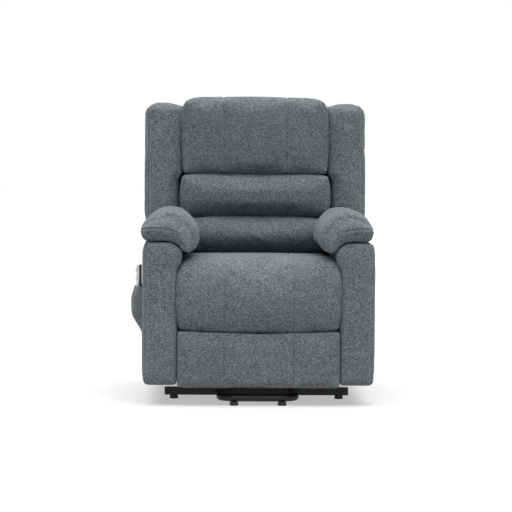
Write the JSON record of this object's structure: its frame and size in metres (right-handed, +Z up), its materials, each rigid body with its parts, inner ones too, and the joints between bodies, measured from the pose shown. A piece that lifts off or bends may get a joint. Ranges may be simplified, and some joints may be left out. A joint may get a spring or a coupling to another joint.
{
  "type": "lift recliner chair",
  "caption": "Upholstered powered armchair with side wings, stacked back cushions, swing-out legrest, side pocket with handset and a steel base that lifts and tips it forward",
  "frame": {"origin": "on the floor, below the centre of the whole chair's box", "axes": "+Z up, the chair faces -Y, +X towards the sitter's left"},
  "size_m": [0.8325, 0.9066, 1.05],
  "materials": {
    "upholstery": "matte",
    "base_steel": "satin",
    "mechanism_steel": "satin",
    "zinc_pins": "satin",
    "actuator_plastic": "matte",
    "rod_steel": "satin",
    "frame_wood": "matte",
    "glide_rubber": "matte",
    "handset_silver": "satin",
    "handset_black": "satin",
    "button_grey": "matte",
    "spring_steel": "satin"
  },
  "bodies": {
    "base": {"base_front_rail": "base_steel", "rail_end_caps": "glide_rubber", "base_rear_rail": "base_steel", "base_side_rails": "base_steel", "base_front_loop": "base_steel", "rail_glides": "glide_rubber", "front_loop_glides": "glide_rubber", "power_supply": "actuator_plastic", "lift_base_brackets": "mechanism_steel", "lift_motor_bracket": "mechanism_steel"},
    "lift_arms": {"lift_arms": "mechanism_steel", "lift_cross_tube": "mechanism_steel", "lift_lugs": "mechanism_steel"},
    "lift_stays": {"lift_stays": "mechanism_steel"},
    "lift_actuator_body": {"lift_actuator_motor": "actuator_plastic", "lift_actuator_tube": "rod_steel"},
    "lift_actuator_rod": {"lift_actuator_rod": "rod_steel"},
    "chair": {"lift_hangers": "mechanism_steel", "side_plates": "mechanism_steel", "side_plate_pins": "zinc_pins", "cross_tubes": "mechanism_steel", "recline_motor_bracket": "mechanism_steel", "seat_rails": "frame_wood", "seat_springs": "spring_steel", "control_box": "actuator_plastic", "arm_spacers": "frame_wood", "seat_cushion": "upholstery", "arm_cover_left": "upholstery", "arm_cover_right": "upholstery", "arm_frames": "frame_wood", "arm_pad_left": "upholstery", "arm_pad_right": "upholstery", "side_pocket": "upholstery", "lower_rear_panel": "upholstery"},
    "back": {"back_frame": "frame_wood", "head_cushion": "upholstery", "middle_cushion": "upholstery", "lumbar_cushion": "upholstery", "back_rear_cover": "upholstery", "wing_left": "upholstery", "wing_right": "upholstery", "back_brackets": "mechanism_steel", "recline_lugs": "mechanism_steel"},
    "recline_actuator_body": {"recline_actuator_motor": "actuator_plastic", "recline_actuator_tube": "rod_steel"},
    "recline_actuator_rod": {"recline_actuator_rod": "rod_steel"},
    "legrest_crank": {"legrest_cranks": "mechanism_steel", "legrest_torque_tube": "mechanism_steel"},
    "legrest_long_link": {"legrest_long_links": "mechanism_steel"},
    "legrest_upper_link": {"legrest_upper_links": "mechanism_steel"},
    "legrest_guide_link": {"legrest_guide_links": "mechanism_steel"},
    "legrest": {"legrest_brackets": "mechanism_steel", "legrest_board": "frame_wood", "legrest_pad": "upholstery"},
    "handset": {"handset_front": "handset_silver", "handset_back": "handset_black"},
    "button_lift_up": {"button_lift_up": "button_grey"},
    "button_lift_down": {"button_lift_down": "button_grey"},
    "button_recline_out": {"button_recline_out": "button_grey"},
    "button_recline_in": {"button_recline_in": "button_grey"}
  },
  "joints": [
    {"name": "lift", "type": "hinge", "parent": "base", "child": "lift_arms", "pos_m": [0.025, -0.092, 0.07], "axis": [1, 0, 0], "range_deg": [0, 58]},
    {"name": "chair_tilt", "type": "hinge", "parent": "lift_arms", "child": "chair", "pos_m": [0.025, 0.253, 0.112], "axis": [-1, 0, 0], "range_deg": [0, 39.3]},
    {"name": "stay_swing", "type": "hinge", "parent": "base", "child": "lift_stays", "pos_m": [0.025, -0.1575, 0.0501], "axis": [1, 0, 0], "range_deg": [0, 63.6]},
    {"name": "lift_actuator_pivot", "type": "hinge", "parent": "base", "child": "lift_actuator_body", "pos_m": [0.025, 0.293, 0.1], "axis": [1, 0, 0], "range_deg": [0, 1.95]},
    {"name": "lift_rod", "type": "slide", "parent": "lift_actuator_body", "child": "lift_actuator_rod", "axis": [0, -0.988, 0.1547], "range_m": [0, 0.0915]},
    {"name": "back_recline", "type": "hinge", "parent": "chair", "child": "back", "pos_m": [0.025, 0.243, 0.43], "axis": [-1, 0, 0], "range_deg": [0, 45]},
    {"name": "recline_actuator_pivot", "type": "hinge", "parent": "chair", "child": "recline_actuator_body", "pos_m": [0.025, -0.132, 0.285], "axis": [1, 0, 0], "range_deg": [0, 1.8]},
    {"name": "recline_rod", "type": "slide", "parent": "recline_actuator_body", "child": "recline_actuator_rod", "axis": [0, -0.9951, -0.0989], "range_m": [0, 0.0855]},
    {"name": "legrest_open", "type": "hinge", "parent": "chair", "child": "legrest_crank", "pos_m": [0.025, -0.238, 0.2275], "axis": [-1, 0, 0], "range_deg": [0, 111.6]},
    {"name": "long_link_swing", "type": "hinge", "parent": "legrest_crank", "child": "legrest_long_link", "pos_m": [0.025, -0.13208, 0.08694], "axis": [1, 0, 0], "range_deg": [0, 98.3]},
    {"name": "legrest_turn", "type": "hinge", "parent": "legrest_long_link", "child": "legrest", "pos_m": [0.025, -0.392, 0.188], "axis": [-1, 0, 0], "range_deg": [0, 76.7]},
    {"name": "guide_link_swing", "type": "hinge", "parent": "chair", "child": "legrest_guide_link", "pos_m": [0.025, -0.2757, 0.2148], "axis": [-1, 0, 0], "range_deg": [0, 109.2]},
    {"name": "upper_link_swing", "type": "hinge", "parent": "legrest_crank", "child": "legrest_upper_link", "pos_m": [0.025, -0.1335, 0.1081], "axis": [1, 0, 0], "range_deg": [0, 99.4]},
    {"name": "handset_lift_out", "type": "slide", "parent": "chair", "child": "handset", "axis": [0, 0, 1], "range_m": [0, 0.2]},
    {"name": "press_lift_up", "type": "slide", "parent": "handset", "child": "button_lift_up", "axis": [1, 0, 0], "range_m": [0, 0.0015], "stiffness_N_per_m": 400},
    {"name": "press_lift_down", "type": "slide", "parent": "handset", "child": "button_lift_down", "axis": [1, 0, 0], "range_m": [0, 0.0015], "stiffness_N_per_m": 400},
    {"name": "press_recline_out", "type": "slide", "parent": "handset", "child": "button_recline_out", "axis": [1, 0, 0], "range_m": [0, 0.0015], "stiffness_N_per_m": 400},
    {"name": "press_recline_in", "type": "slide", "parent": "handset", "child": "button_recline_in", "axis": [1, 0, 0], "range_m": [0, 0.0015], "stiffness_N_per_m": 400}
  ],
  "couplings": [
    {"joint": "chair_tilt", "follows": "lift", "ratio": 0.675},
    {"joint": "stay_swing", "follows": "lift", "ratio": 1.093},
    {"joint": "lift_actuator_pivot", "follows": "lift", "ratio": 0.032427},
    {"joint": "lift_rod", "follows": "lift", "m_per_rad": 0.09013},
    {"joint": "recline_actuator_pivot", "follows": "back_recline", "ratio": 0.032248},
    {"joint": "recline_rod", "follows": "back_recline", "m_per_rad": 0.10847},
    {"joint": "long_link_swing", "follows": "legrest_open", "ratio": 0.87903},
    {"joint": "legrest_turn", "follows": "legrest_open", "ratio": 0.68548},
    {"joint": "guide_link_swing", "follows": "legrest_open", "ratio": 0.9768},
    {"joint": "upper_link_swing", "follows": "legrest_open", "ratio": 0.88882}
  ]
}
